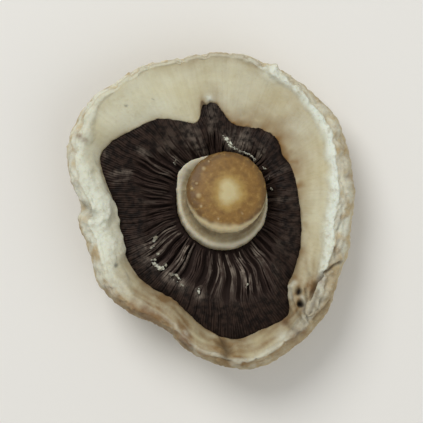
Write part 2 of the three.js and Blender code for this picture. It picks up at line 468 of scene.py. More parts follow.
# Dried mushroom stem, cut straight across: its juice has dried to a hard amber face round a pale pith,
# with a fibrous beige skin below. It gives the eye a smooth, faintly glassy disc on a dull collar.
stemLook = {
    "colours": {
        "pith": "#bfb184", "pithEdge": "#a38649", "amber": "#83622f", "amberDark": "#654722",
        "amberPale": "#a8894c", "amberRim": "#694e29", "speckle": "#b8a67e", "lip": "#c8b992",
        # groove is painted shade under the disc, and also the colour of the collar's stains
        "groove": "#5f4b35", "collar": "#8f7f5f", "collarPale": "#a99d7d", "brim": "#c6bfa8",
    },
    "masks": ("out", "face", "lip", "groove", "brim", "bead"),  # numbers painted on the mesh
    "grains": {  # size in millimetres, detail and roughness
        "blotch": (1.111, 3, 0.55), "stain": (0.714, 4, 0.65), "fine": (0.25, 3, 0.55),
    },
    "shares": {  # from which pattern, where in it the share starts and ends, and the share there
        "ragged": ("blotch", 0.2, 0.8, -0.5, 0.5), "ring": ("out", 0.3, 0.55, 0, 1),
        "darkStains": ("stain", 0.5, 0.66, 0, 0.55), "paleStains": ("stain", 0.46, 0.34, 0, 0.45),
        "speckles": ("fine", 0.62, 0.76, 0, 0.2), "beads": ("bead", 0.2, 0.9, 0, 0.6),
        "palerSide": ("blotch", 0.35, 0.65, 0, 1), "sideStains": ("stain", 0.52, 0.7, 0, 0.4),
        "roughness": ("face", 0, 1, 0.8, 0.5),
    },
    "products": {"darkRing": ("ring", "darkStains"), "paleRing": ("ring", "paleStains")},
    "rings": (  # colours of the cut face, from its middle out to its rim, where the darkest is painted shade as the face curves down
        (0, "pith"), (0.2, "pith"), (0.4, "pithEdge"), (0.58, "amber"), (0.86, "amber"), (0.98, "amberRim"),
    ),
    "raggedness": 0.16,  # how far blotches shift the rings
    "layers": (  # the colour below, the share and the colour above
        ("face", "darkRing", "amberDark"), ("face", "paleRing", "amberPale"),
        ("face", "speckles", "speckle"), ("face", "beads", "speckle"),
        ("collar", "palerSide", "collarPale"), ("collar", "sideStains", "groove"),
        ("collar", "brim", "brim"), ("collar", "lip", "lip"), ("collar", "groove", "groove"),
        ("collar", "face", "face"),
    ),
    "shader": {
        "Specular IOR Level": 0.3, "Subsurface Weight": 0.25, "Subsurface Radius": (1.5, 0.8, 0.3),
        "Subsurface Scale": 0.8 * mm,
    },
    "bump": 0.4, "relief": 0.06,  # strength, and height in millimetres
    "blotchRelief": 1.5,  # beside the fine grain's
}


def driedStem():
    look = stemLook
    material, tree = newMaterial("driedMushroomStem")
    value = {}
    addPatterns(tree, look, value)
    addScaled = {"operation": "MULTIPLY_ADD"}
    stirred = addNode(
        tree, "ShaderNodeMath", addScaled, {0: value["ragged"], 1: look["raggedness"], 2: value["out"]}
    )
    face = addNode(tree, "ShaderNodeValToRGB", inputs={"Fac": stirred})
    rings = face.node.color_ramp.elements
    while len(rings) < len(look["rings"]):
        rings.new(0.5)
    for ring, (place, colour) in zip(rings, look["rings"]):
        ring.position = place
        ring.color = linear(look["colours"][colour])
    height = addNode(
        tree, "ShaderNodeMath", addScaled, {0: value["blotch"], 1: look["blotchRelief"], 2: value["fine"]}
    )
    finishTissue(tree, look, value, {**look["colours"], "face": face}, height)
    return material


fleshMaterial = driedFlesh()
gillMaterial = driedGill()
stemMaterial = driedStem()


cap = {
    "around": 128,
    # where rings lie, as shares of each stretch: out along the crown, up the skin, over the rim, inwards
    "crown": (0, 0.1, 0.25, 0.42, 0.5, 0.6, 0.7, 0.78, 0.85, 0.91, 0.96, 1),
    "skin": (0.25, 0.5, 0.75, 0.92),
    "rim": (0, 0.5, 1),
    "flesh": (0.08, 0.18, 0.3, 0.45, 0.6, 0.75, 0.88, 0.97, 1),
    "hollow": (0.98, 0.6, 0.2, 0),
    "zones": {  # along the section: where each kind of surface starts and fades in, ends and fades out
        "underside": (0.42, 0.1, 0.9, 0.3), "side": (0.4, 0.4, 1.9, 0.6), "outside": (0.5, 0.35, 1.8, 0.3),
        "shoulder": (1, 0.3, 2.6, 0.6), "crest": (1.1, 0.6, 2.7, 0.5), "skinTop": (1.1, 0.5, 2, 0.4),
        "top": (1.6, 0.4, 3.93, 0.06), "onFlesh": (2.9, 0.2, 3.93, 0.06), "lip": (3.5, 0.5, 4.1, 0.5),
    },
    "lumps": (  # relief of dried tissue: on which surface, height, size and seed
        ("outside", 0.1, 0.9, 2), ("outside", 0.1, 0.4, 3), ("shoulder", 0.16, 1.5, 4),
        ("underside", 0.14, 2.2, 0), ("margin", 0.07, 0.8, 1), ("margin", 0.042, 0.35, 2),
        ("margin", 0.22, 2, 12), ("onFlesh", 0.12, 4, 3), ("onFlesh", 0.02, 0.8, 4),
    ),
    "wrinkle": 0.14, "wrinklePitch": 1.6, "crazing": 0.06, "flutter": 0.02, "fibrePitch": 0.7,
    "tornEdge": (0.55, 0.2),  # how dark the flesh's torn edge by the gills is, partly darker tissue and partly painted shade where it meets them, and how fast that fades
    "onlyAbove": 1.4,  # cracks, folds and pits are on the section past this
    "overGills": 0.16,  # how far the flesh's edge reaches over the gills
    "frayed": ((60, 28, 2.5),),  # where that edge is more frayed: direction, width and how much more
    "browned": (52, 42),  # where juice from the gills has browned the flesh most: direction and width
    "tanCrest": ((95, 45, 0.55),),  # where the flesh by the crest is tan too: direction, width, strength
    "marginWidth": (  # the white margin: direction and width inwards from the crest
        (90, 0.35), (60, 0.9), (30, 1.3), (0, 1.4), (-25, 1.2), (-50, 0.9), (-80, 0.5), (-105, 0.3),
        (-128, 0.3), (-148, 2.4), (-165, 3.7), (-178, 4.3), (170, 2.5), (155, 1.5), (130, 0.4),
    ),
    "marginWhite": (
        (90, 0.25), (65, 0.85), (30, 1), (0, 1), (-25, 0.9), (-50, 0.35), (-80, 0.4), (-105, 0.25),
        (-128, 0.1), (-148, 0.55), (-165, 0.78), (-178, 0.75), (170, 0.72), (155, 0.62), (140, 0.45),
        (120, 0.4),
    ),
    "marginSwell": 0.14,  # how far the margin stands proud, as a share of its width
    "skinWhite": (  # how white the skin is beside the crest
        (90, 0.4), (45, 0.4), (20, 0.4), (5, 0.5), (-15, 0.7), (-35, 0.05), (-60, 0.05), (-90, 0.25),
        (-128, 0), (-155, 0.6), (180, 0.62), (140, 0.62), (115, 0.5),
    ),
    "bites": (  # how deep the crest is nicked
        (150, 0.25), (120, 0.35), (95, 0.4), (70, 0.3), (40, 0.2), (0, 0.15), (-60, 0.2), (-120, 0.2),
        (180, 0.15),
    ),
    "tan": (  # where the flesh has dried to tan
        (90, 0.2), (65, 0.2), (40, 0.2), (15, 0.2), (-10, 0.15), (-30, 0.35), (-46, 1), (-62, 0.85),
        (-76, 0.5), (-91, 1.1), (-105, 0.75), (-118, 0.95), (-128, 1), (-138, 0.5), (-150, 0.25),
        (-160, 0.2), (180, 0.1), (150, 0.1), (120, 0),
    ),
    "cracks": (  # lines in plan with their width, depth and darkness, which is darker tissue with painted shade in the crack
        (((15.4, -6), (14.5, -6.5), (13.2, -7.5), (12.4, -8.6), (12, -9.7), (11.9, -10.6)), 0.2, 0.28, 0.75),
        (((15.6, -8.6), (14.6, -9.9), (13.4, -11.5), (12.2, -12.7)), 0.16, 0.22, 0.3),
        (((12.7, -9.4), (12.2, -11), (11.5, -12.2)), 0.15, 0.2, 0.45),
        (((9.5, -9.4), (9.6, -10.6), (10.2, -12), (11, -13.2)), 0.16, 0.2, 0.35),
        (((11.1, -9.2), (11.3, -10.4), (10.9, -11.8), (11.5, -13)), 0.14, 0.2, 0.5),
        (((8.6, -13), (9.2, -13.6), (10.2, -14.4)), 0.3, 0.15, 0.4),
        (((15.2, -3.4), (14.6, -4.6), (14.8, -5.8)), 0.16, 0.15, 0.3),
        (((15.6, 0.6), (15.4, -1.2), (15, -2.2)), 0.14, 0.12, 0.25),
        (((-17.6, 0.9), (-15.6, 0.7), (-13.9, -0.4)), 0.45, 0.45, 0.3),
        (((1.5, -15.4), (1.9, -16.3), (1.7, -17.4)), 0.5, 0.35, 0.6),
        (((-8.6, -11.9), (-5.4, -14.3), (-2.6, -16.6)), 0.5, 0.2, 0.25),
    ),
    "folds": (  # raised lines in plan with their width and height
        (((9.5, -10.3), (9.4, -9.2), (10, -8.5)), 0.25, 0.12),
        (((10.7, -10.1), (11.2, -10.9), (10.9, -11.8)), 0.25, 0.16),
        (((12.3, -9.9), (12, -10.9), (12.2, -11.8)), 0.35, 0.2),
        (((14.8, -8.2), (13.6, -9.6), (12.6, -11.2)), 0.5, 0.2),
        (((11.9, -12.5), (10.9, -13.5), (9.9, -14.4)), 0.4, 0.15),
    ),
    "pits": (  # place in plan, radius, depth and darkness, which is painted shade in the two deep holes and a dark spot in the others
        ((10.3, -9.5), 0.42, 0.7, 1), ((10.55, -10.95), 0.42, 0.7, 1), ((-10.1, 12.5), 0.18, 0.08, 0.6),
        ((-11.3, -6.4), 0.26, 0.12, 0.6), ((-6.9, 13.3), 0.14, 0.05, 0.35),
        ((11.4, -12.6), 0.16, 0.15, 0.6), ((11.8, -11.9), 0.14, 0.12, 0.5), ((12.2, -13), 0.13, 0.1, 0.4),
        ((10.2, -12.7), 1, 0.06, 0.2), ((10.9, -11.8), 0.5, 0.05, 0.15),
    ),
    "crumple": ((13.0, -9.8), 2.6, 0.22),  # where the margin has buckled: place, radius and height
    "stains": (  # brown, on the flesh: place, radius and strength
        ((1.6, 12.1), 0.9, 0.5), ((3.4, 10.7), 1.1, 0.6), ((5.8, 10.4), 1.4, 0.35),
        ((8.4, 9.2), 1.5, 0.6), ((9.6, 7), 1.1, 0.5), ((9.8, 5.8), 1, 0.72), ((10.5, 3.2), 0.9, 0.65),
        ((11, -1.7), 0.6, 0.45), ((10.8, -4.7), 0.7, 0.6), ((9.9, -7.8), 0.7, 0.6),
        ((10.9, -12.3), 1.2, 0.25), ((1.3, -15.6), 1, 0.65), ((3.6, -15.2), 0.8, 0.5),
        ((5.4, -15), 0.8, 0.3),
    ),
    "rust": (  # red-brown stains on flesh and skin alike, which on the south-west rim also paint its shadow: place, radius and strength
        ((-12.6, -9.6), 0.8, 0.6), ((-11, -11.2), 1, 0.7), ((-9.4, -11.6), 1.1, 0.65),
        ((-8, -12.4), 1.3, 0.8), ((-6.6, -13.6), 1.2, 0.6), ((-5.2, -15), 1.2, 0.7),
        ((-3.4, -16.2), 1.4, 0.6), ((-6.4, -11.8), 1.2, 0.2), ((-3.9, -14.6), 1, 0.4),
        ((-1.6, -16.8), 1, 0.4), ((16.7, 4.2), 0.6, 0.6), ((16.8, 3), 0.4, 0.5), ((15.3, 5.3), 0.9, 0.15),
        ((15.2, -0.8), 0.5, 0.25), ((15.4, -3.4), 0.6, 0.2), ((14.9, -4.6), 0.5, 0.25),
        ((-15.6, 8.9), 0.5, 0.5), ((-15.1, 8.4), 0.4, 0.4), ((9.9, -14.3), 0.7, 0.4),
        ((8.7, -13.1), 0.5, 0.4), ((10.9, -14.2), 0.5, 0.35), ((12.9, -8), 0.7, 0.35),
        ((12.1, -9.3), 0.7, 0.3), ((10.2, -10.2), 0.5, 0.3), ((-16.4, 0.6), 0.5, 0.35),
        ((-14.4, -0.3), 0.5, 0.16), ((-15.9, 3.6), 0.6, 0.15),
    ),
    "swell": (-128, 15, 0.5),  # where the side bulges: direction, width and reach
    "pale": (  # chalky spots on the flesh, of which the broad patches to the north-west and north are painted light: place, radius and strength
        ((-0.25, 13.5), 0.5, 0.8), ((-9, 12.8), 4.5, 0.26), ((-14, 6.5), 2, 0.3), ((2.5, 15.5), 4, 0.14),
        ((10.5, 10.3), 2, 0.2), ((-4.7, -13.7), 0.55, 0.7), ((-3.2, -14.5), 0.45, 0.5),
        ((8.5, -14.9), 0.8, 0.5), ((-9.6, -9.9), 0.6, 0.3),
    ),
    "lobe": ((-16.2, -1.0), 1.2, 0.55),  # a swelling of the margin: place, radius and height
    "tuft": ((7.4, 16.7), 1.1, 0.5),  # a torn shred of rim: place, radius and height
}


def capStations():
    parts = ("crown", "skin", "rim", "flesh", "hollow")
    return [index + s * 0.999 for index, part in enumerate(parts) for s in cap[part]] + [5.0]


def rimFill(a):
    direction, width, share = form["rimFill"]
    return form["rimRound"] * share * near(a, direction, width)


def capPlace(station, a):
    index = min(5, int(station))
    s = min(1, (station - index) / 0.999)
    rim = rimAt(a)
    if index == 0:
        depth = 1 - math.sqrt(max(0, 1 - s ** form["crownRoundness"]))
        z = mix(-form["crownFlat"], girthZ(a), depth)
        return polar(girthAt(a) * s, a, max(0, z))
    if index == 1:
        radius = mix(rim + form["rimRound"], girthAt(a), math.cos(s * math.pi / 2))
        return polar(radius, a, mix(girthZ(a), rimZ(a) - form["rimRound"], math.sin(s * math.pi / 2)))
    if index == 2:
        radius = rim + form["rimRound"] * math.cos(s * math.pi)
        filled = rimFill(a) if s == 1 else 0
        return polar(radius, a, rimZ(a) - form["rimRound"] * (1 - math.sin(s * math.pi)) + filled)
    if index == 3:
        radius = mix(rim - form["rimRound"], gillReach(a) + form["clearance"] / 2, s)
        fall = mix(s, s ** 2.2, form["fleshDish"])
        pucker = -form["puckerDepth"] * near(a, form["puckerTowards"], form["puckerWidth"])
        z = mix(rimZ(a), gillRimZ(a), fall) - form["rimRound"] + rimFill(a) * (1 - smooth(s / 0.3))
        return polar(radius, a, z + pucker * math.sin(turn * s))
    if index == 4:
        root = gillFloorZ(s, a) - form["gillFloor"] - form["clearance"]
        return polar(gillRadius(s, a) + form["clearance"] * s, a, root)
    return polar(0, a, form["hollowTop"])


def surfaceAt(point, u):
    # where a point of the cap is, and how much it belongs to each kind of surface
    radius, a = fromHub(point)
    here = {name: between(u, *places) for name, places in cap["zones"].items()}
    here.update(point=point, u=u, a=a, radius=radius)
    here["inwards"] = rimAt(a) - radius if u > 2 else 0
    here["width"] = byDirection(a, cap["marginWidth"]) * (1 + 0.5 * lump(point, 1.6, 6))
    here["margin"] = smooth(1.25 - max(0, here["inwards"]) / max(0.2, here["width"])) * here["top"]
    return here


def tissueRelief(here):  # wrinkles, lumps and the swollen margin
    point, u, a = here["point"], here["u"], here["a"]
    lumps = (height * here[zone] * lump(point, size, seed) for zone, height, size, seed in cap["lumps"])
    shift = sum(lumps)
    pleats = Vector((form["reach"] * a / cap["wrinklePitch"], u * 3, 0))
    wrinkles = here["outside"] * crazing(pleats, 1, 1) + here["underside"] * crazing(point, 3, 5)
    shift -= cap["wrinkle"] * wrinkles
    shift -= cap["crazing"] * here["margin"] * crazing(point, 1.3, 7) ** 2
    swollen = math.sin(math.pi * min(1, max(0, here["inwards"] / here["width"])))
    shift += cap["marginSwell"] * here["width"] * here["top"] * swollen
    return shift + cap["flutter"] * here["onFlesh"] * ripple(a, here["radius"] * 0.12, cap["fibrePitch"])


def cracksAndPits(here):  # how far they push the surface, and how dark they are, with painted shade in cracks and hollows
    point, u = here["point"], here["u"]
    shift = pit = 0
    gone = max(0, here["radius"] - gillEnd(here["a"]) + 0.05)  # how far the point is from the gills
    darkness, fade = cap["tornEdge"]
    # the flesh's edge over the gills is darkened, partly torn tissue and partly painted shade where it meets
    # them
    crack = darkness * math.exp(-gone / fade) * smooth((u - 3.5) / 0.3) * (1 + lump(point, 0.6, 22))
    if u <= cap["onlyAbove"]:
        return shift, crack, pit
    seen = 1 if u < 3.96 else 0
    for line, breadth, depth, darkness in cap["cracks"]:
        away = toLine(point, line) / (breadth * (1 + 0.6 * lump(point, 0.7, 8)))
        shift += depth * seen * (0.4 * math.exp(-((away - 2.2) ** 2)) - math.exp(-(away ** 2)))
        # the dark line is darker tissue with painted shade in the crack
        crack = max(crack, darkness * math.exp(-(away ** 2)) * seen)
    for line, breadth, height in cap["folds"]:
        shift += height * seen * onLine(point, line, breadth)
    for place, size, depth, darkness in cap["pits"]:
        press = math.exp(-(((point.xy - Vector(place)).length / size) ** 4)) * seen
        shift -= depth * press
        # the near-black in the deep pits is painted shade; the shallow ones are dark spots
        pit = max(pit, press * darkness)
    place, size, height = cap["crumple"]
    buckled = height * spot(point, place, size) * (lump(point, 1, 20) + 0.7 * lump(point, 0.5, 21))
    shift += 1.6 * buckled * seen
    # painted shade in the crumple's hollows
    crack = max(crack, seen * min(0.45, max(0, -5 * buckled - 0.1)))
    place, size, height = cap["tuft"]
    shift += height * spot(point, place, size) * (0.6 + 1.1 * lump(point, 0.7, 5))
    place, size, height = cap["lobe"]
    shift += height * spot(point, place, size) * (1 - smooth((u - 3) / 0.5))
    return shift, crack, pit


def drawnIn(here):  # how far the rim is nicked, and the flesh's edge frayed, towards the hub
    point, a = here["point"], here["a"]
    teeth = lump(Vector((form["reach"] * a / 1.1, 0, 0)), 1, 14) + 0.6 * lump(point, 0.5, 15)
    inward = byDirection(a, cap["bites"]) * smooth((teeth - 0.05) / 0.35) * here["crest"]
    direction, breadth, reach = cap["swell"]
    inward -= reach * near(a, direction, breadth) * here["side"]
    frayed = (1 + strays(a, cap["frayed"])) * lump(point, 0.7, 18)
    return inward + here["lip"] * (cap["overGills"] * (1 + frayed) - noseAt(a))


def brownOf(here):  # the flesh that juice from the gills has browned, beside them and in spots
    point, a = here["point"], here["a"]
    browned = near(a, *cap["browned"])
    closeness = math.exp(-max(0, here["radius"] - gillEnd(a)) / mix(0.4, 2.2, browned))
    uneven = 0.9 + 0.6 * lump(point, 1.5, 7)
    brown = closeness * mix(0.7, 1.15, browned) * uneven * smooth((here["u"] - 2.9) / 0.2)
    stained = strongest(point, cap["stains"]) * (1 + 0.8 * lump(point, 0.9, 23))
    return min(1, max(0, brown, stained))


def whiteOf(here):  # the chalky margin, the papery skin beside the crest, folds and spots, with broad patches of painted light on the flesh
    point, a, u = here["point"], here["a"], here["u"]
    white = here["margin"] * byDirection(a, cap["marginWhite"]) * smooth((u - 2) / 0.4)
    papery = byDirection(a, cap["skinWhite"])
    peeling = smooth(papery + 0.2 + 1.5 * lump(point, 1.2, 16))
    place, size, _ = cap["tuft"]
    white = max(
        white,
        min(1, 1.1 * papery) * here["skinTop"] * peeling,
        0.9 * spot(point, place, size * 1.2) * here["top"],
    )
    for line, breadth, _ in cap["folds"]:
        white = max(white, 0.4 * onLine(point, line, breadth) * here["top"])
    return max(white, strongest(point, cap["pale"]) * here["onFlesh"])


def rustOf(here):  # red-brown stains, and the painted shadow on the south-west rim, which fade down the side
    point, u = here["point"], here["u"]
    if u <= 0.6:
        return 0
    onRim = mix(0.6, 1, smooth((u - 1.5) / 0.5)) * smooth((u - 0.7) + 0.4 * lump(point, 1.5, 25))
    return max(0, strongest(point, cap["rust"]) * onRim * (1 + 1.1 * lump(point, 0.8, 24)))


def tanOf(here):  # flesh and skin that have dried to tan, in streaks along the rim
    point, a, u, inwards = here["point"], here["a"], here["u"], here["inwards"]
    tan = byDirection(a, cap["tan"]) * mix(0.7, 1, smooth((u - 1.6) / 0.4)) * smooth((u - 1) / 0.4)
    tan *= 0.85 + 0.4 * lump(point, 1.3, 8) + 0.5 * lump(Vector((inwards * 2.2, a * 5, 0)), 1, 17)
    if u > 2:
        tan += strays(a, cap["tanCrest"]) * math.exp(-max(0, inwards) / 0.9)
    return min(1, max(0, tan))


def carveCap(piece):
    # moves the fine mesh's points and fills the masks that its material reads
    piece.data.attributes.new("fibre", "FLOAT_VECTOR", "POINT")
    mask = masks(piece, fleshLook["masks"])
    fibre = piece.data.attributes["fibre"].data
    normals = [vertex.normal.copy() for vertex in piece.data.vertices]
    for vertex, u, normal in zip(piece.data.vertices, acrossOf(piece), normals):
        point = vertex.co / mm
        here = surfaceAt(point, u)
        carved, crack, pit = cracksAndPits(here)
        inwards = (point - hub).normalized() * drawnIn(here)
        vertex.co += (normal * (tissueRelief(here) + carved) - inwards) * mm
        vertex.co.z = max(0, vertex.co.z)
        skin = 1 - smooth((u - 2) / 0.45)
        paint(mask, vertex.index, skin=skin, white=whiteOf(here), crack=crack, pit=pit)
        paint(mask, vertex.index, brown=brownOf(here), tan=tanOf(here), rust=rustOf(here))
        rounds = form["reach"] * Vector((math.cos(here["a"]), math.sin(here["a"])))
        fibre[vertex.index].vector = (*rounds, here["radius"] * 0.12 + u)


def makeCap():
    stations = capStations()
    piece = tube("capFlesh", cap["around"], len(stations))
    layOut(piece, stations, capPlace)
    close(piece)
    subdivide(piece, 2)
    carveCap(piece)
    finishPiece(piece, fleshMaterial)
    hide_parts("cap")


gills = {
    "inner": 5.2,  # the visible plates run into the stem's side
    "underFlesh": 0.3, "dip": 0.12,  # and out under the flesh's edge, where they dip
    "plates": 308, "pleats": 52,  # the plates have dried together into pleats
    "pleatWidths": (0.35, 1.65), "pleatRises": (-1, 0.6), "pleatPales": (-0.6, 1.4),  # least and most
    "straying": 0.12, "strayDraw": 0.35,  # the share of plates that are drawn in less, and how much
    "floorAround": 320,
    "draw": (0.15, 0.7),  # how far a pleat's free edges have come together
    "cutBand": (  # direction, and width of the band beside the flesh where the knife cut the edges flush
        (90, 3.4), (45, 2.6), (0, 2.8), (-45, 3.2), (-90, 4.6), (-130, 2), (-155, 2.4), (180, 4.2),
        (155, 4.2), (125, 4.4),
    ),
    "edgeThickness": 0.17, "cutThickness": 0.25, "rootThickness": 0.28,
    "starts": (0.0, 0.35, 0.05, 0.5, 0.0, 0.2, 0.1),  # where plates begin, from the stem out
    "along": 22, "up": 4,
    "lower": 0.1, "rooted": 0.15, "least": 0.2,  # below the gills' line, into the flesh, height at the start
    "twist": 0.06, "wave": 0.16, "ragged": 0.2, "rise": 0.4, "flank": 0.4,
    "bed": 0.3, "cutBed": 0.16,  # how far the plates stand out of the pleat that they form, and where cut
    "valley": (0.15, 0.55),  # how deep it is between pleats, as a share of the gills' depth
    "bedRidges": 0.12, "bedPitch": 0.35,  # fine folds on the flesh between the plates
    "paleSides": (  # direction, and how pale the free edges are there, partly dried pale and partly painted highlight on the pleats
        (90, 0.35), (60, 0.12), (20, 0.08), (-20, 0.1), (-50, 0.25), (-80, 0.42), (-110, 0.5),
        (-140, 0.65), (-165, 0.12), (180, 0.05), (150, 0.1), (120, 0.12),
    ),
    "paleBand": (7.6, 2.6),  # the radius where most edges are pale and carry painted highlight, and how broad that band is
    "glints": (  # pale dried edges and painted highlights on the ridges: a line in plan, its breadth and strength
        (((-11.9, 4.4), (-10.9, 4.7), (-9.6, 4.6)), 0.3, 0.35),
        (((-11.4, 3.5), (-10.4, 3.7), (-9.8, 4)), 0.22, 0.25),
        (((-8.6, 7.4), (-7.8, 6.9), (-7, 6.2)), 0.35, 0.4), (((-6.9, 5.6), (-6.2, 5)), 0.3, 0.3),
        (((-6, 4.6), (-5.1, 4.4)), 0.3, 0.55), (((-4.4, 6.5), (-4.3, 5.4)), 0.2, 0.6),
        (((-12.6, 7), (-12.4, 5.8)), 0.25, 0.25), (((-8.6, 1.4), (-6.8, 1.2)), 0.3, 0.2),
        (((3.4, -5), (3.9, -6.4), (3.5, -7.8)), 0.3, 0.5), (((4.3, -8.3), (4, -9)), 0.35, 0.65),
        (((4.6, -8.7), (5.8, -8.9)), 0.3, 0.4), (((-7.5, -4.4), (-6.6, -3.3)), 0.5, 0.4),
        (((-7.3, -6), (-5.6, -6.7)), 0.6, 0.5), (((-5.2, -7.5), (-3.4, -8.8)), 0.6, 0.5),
        (((-1.6, -9.1), (-1.4, -9.9)), 0.5, 0.5), (((0.1, 9.6), (-0.1, 13.2)), 0.7, 0.22),
        (((1.5, 8.8), (2.6, 7.7)), 0.6, 0.4), (((3.4, 8.6), (4.8, 7.9), (5.8, 6.9)), 0.7, 0.25),
    ),
    "seed": 11,
}


def platesRadius(t, a):
    return mix(gills["inner"], gillEnd(a) + gills["underFlesh"], t)


def looseness(radius, a):  # 1 where the gills hang free, 0 where the knife has cut them flush
    return 1 - smooth((radius - gillEnd(a) + byDirection(a, gills["cutBand"], 22)) / 1.2 + 0.5)


def twist(radius, a):  # how far plates and pleats stray from a straight line outwards
    return gills["twist"] * noise.noise(Vector((radius * 0.3, 2 * math.cos(a), 2 * math.sin(a))))


def makePleats(draw):
    # where each pleat ends, its middle and half width, and how it has dried
    widths = [draw.uniform(*gills["pleatWidths"]) for _ in range(gills["pleats"])]
    scale = turn / sum(widths)
    start = 0
    pleats = []
    for width in widths:
        pleats.append({
            "end": start + width * scale,
            "middle": start + width * scale / 2,
            "half": width * scale / 2,
            "drawn": draw.uniform(*gills["draw"]),
            "rise": draw.uniform(*gills["pleatRises"]) * gills["rise"],
            "pale": draw.uniform(*gills["pleatPales"]),
        })
        start += width * scale
    return pleats


def pleatAt(pleats, a):
    a = a % turn
    return next(pleat for pleat in pleats if a < pleat["end"] or pleat is pleats[-1])


def fold(pleat, flank, t):  # how far a pleat's edges stand above or below the gills' even line
    return (pleat["rise"] - gills["flank"] * flank ** 2) * smooth(t / 0.2)


def bedDepth(pleats, radius, a, t, deepest):
    # how far the flesh under the plates lies below their edges: little where cut and on a pleat's ridge
    loose = looseness(radius, a)
    straight = (a - twist(radius, a)) % turn
    pleat = pleatAt(pleats, straight)
    flank = min(1, abs(straight - pleat["middle"]) / pleat["half"])
    uneven = noise.noise(Vector((radius * 0.5, 9 * math.cos(straight), 9 * math.sin(straight))))
    ridge = gills["bed"] - fold(pleat, flank, t)
    valley = max(ridge, deepest * mix(*gills["valley"], smooth(0.5 + uneven)))
    fine = gills["bedRidges"] * ripple(straight, radius * 0.12, gills["bedPitch"], 8)
    return mix(gills["cutBed"], mix(ridge, valley, flank ** 2.2) + fine, loose), loose


def plateBlank():
    # a slab one step wide along Y, that stands up along X and runs outwards along Z
    bpy.ops.object.select_all(action="DESELECT")
    bpy.ops.mesh.primitive_grid_add(x_subdivisions=gills["up"], y_subdivisions=1, size=1, location=(0, 0, 0))
    blank = bpy.context.object
    pullUp(gills["along"], 1)
    return blank


def shapePlate(copy, root, pleat, start, seed, stray):
    mask = masks(copy, gillLook["masks"])
    flank = abs(root - pleat["middle"]) / pleat["half"]
    for vertex in copy.data.vertices:
        t = mix(start, 0.995, vertex.co.z / gills["along"])
        side = vertex.co.y * 2
        up = vertex.co.x + 0.5
        radius = platesRadius(t, root)
        loose = looseness(radius, root)
        drawn = pleat["drawn"] * stray * mix(0.1, 1, loose) * smooth((t - start + 0.1) / 0.25)
        wave = gills["wave"] * mix(0.4, 1, loose) * noise.noise(Vector((radius * 0.6, seed, 0)))
        a = root + twist(radius, root) + ((pleat["middle"] - root) * drawn + wave / radius) * up ** 1.3
        radius = platesRadius(t, a)
        begun = smooth((t - start) / 0.16 + 0.25)
        top = gillEdgeZ(t, a) - gills["lower"] + fold(pleat, flank, t) * loose
        top -= gills["dip"] * smooth((t - 0.9) / 0.08)
        top += gills["ragged"] * mix(0.2, 1, loose) * noise.noise(Vector((radius * 0.9, seed, 9)))
        bottom = gillFloorZ(t, a) - gills["rooted"]
        z = mix(bottom, mix(bottom + gills["least"], top, begun), up)
        crest = mix(gills["cutThickness"], gills["edgeThickness"], loose)
        thickness = mix(gills["rootThickness"], crest, up) / 2
        x, y, _ = polar(radius, a, z)
        point = Vector((x - side * thickness * math.sin(a), y + side * thickness * math.cos(a), z))
        vertex.co = point * mm
        paint(mask, vertex.index, height=up, loose=loose, pale=paleness(pleat, point))


# pale dried edges and painted highlights on the pleats' ridges, broken into streaks
def paleness(pleat, point):
    glint = 0
    for line, breadth, strength in gills["glints"]:
        if abs(point.x - line[0][0]) < 3 and abs(point.y - line[0][1]) < 5:
            glint += strength * onLine(point, line, breadth)
    radius, a = fromHub(point)
    middle, breadth = gills["paleBand"]
    band = math.exp(-(((radius - middle) / breadth) ** 2))
    streak = smooth(0.5 + 1.6 * ripple(a, radius * 0.35, 0.45, 8))
    sides = byDirection(a, gills["paleSides"], 20) * max(0, pleat["pale"])
    return mix(0.3, 1.1, streak) * glint + 1.5 * streak * band * sides


def makeGillPlates(pleats, draw):
    blank = plateBlank()
    copies = []
    for k in range(gills["plates"]):
        root = (k + 0.5 + draw.uniform(-0.2, 0.2)) / gills["plates"] * turn
        start = max(0, gills["starts"][k % len(gills["starts"])] + draw.uniform(-0.06, 0.06))
        stray = gills["strayDraw"] if draw.random() < gills["straying"] else 1
        copy = copyOf(blank)
        shapePlate(copy, root, pleatAt(pleats, root), start, draw.uniform(0, 50), stray)
        copies.append(copy)
    bpy.data.objects.remove(blank)
    piece = joinAll("gillPlates", copies)
    close(piece)
    finishPiece(piece, gillMaterial)
    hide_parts("gills")


def makeGillFloor(pleats):
    # the dark flesh that the plates grow from, as a closed ring with a ridge under each pleat
    low = [(t, 0) for t in (0, 0.35, 0.7, 1)]
    high = [(t, 1) for t in (1, 0.9, 0.8, 0.7, 0.6, 0.5, 0.4, 0.3, 0.2, 0.1, 0)]
    section = low + high + low[:1]

    def place(station, a):
        t, isHigh = section[station]
        z = gillFloorZ(t, a) - (0 if isHigh else form["gillFloor"])
        return polar(platesRadius(t, a), a, z)

    piece = tube("gillFloor", gills["floorAround"], len(section))
    layOut(piece, range(len(section)), place)
    close(piece)
    subdivide(piece, 1)
    mask = masks(piece, gillLook["masks"])
    for vertex, u in zip(piece.data.vertices, acrossOf(piece)):
        point = vertex.co / mm
        radius, a = fromHub(point)
        t = min(1, max(0, (radius - gills["inner"]) / (gillEnd(a) - gills["inner"])))
        deepest = gillEdgeZ(t, a) - gillFloorZ(t, a)
        down, loose = bedDepth(pleats, radius, a, t, deepest)
        onTop = between(u, 3, 1, 14, 1)
        point.z += (deepest - down) * onTop
        vertex.co = point * mm
        # the floor is painted darker where it lies deeper, as painted shade between the plates
        paint(mask, vertex.index, height=0.8 * onTop * (1 - down / deepest), loose=loose)
    finishPiece(piece, gillMaterial)


def makeGills():
    draw = random.Random(gills["seed"])
    pleats = makePleats(draw)
    makeGillPlates(pleats, draw)
    makeGillFloor(pleats)


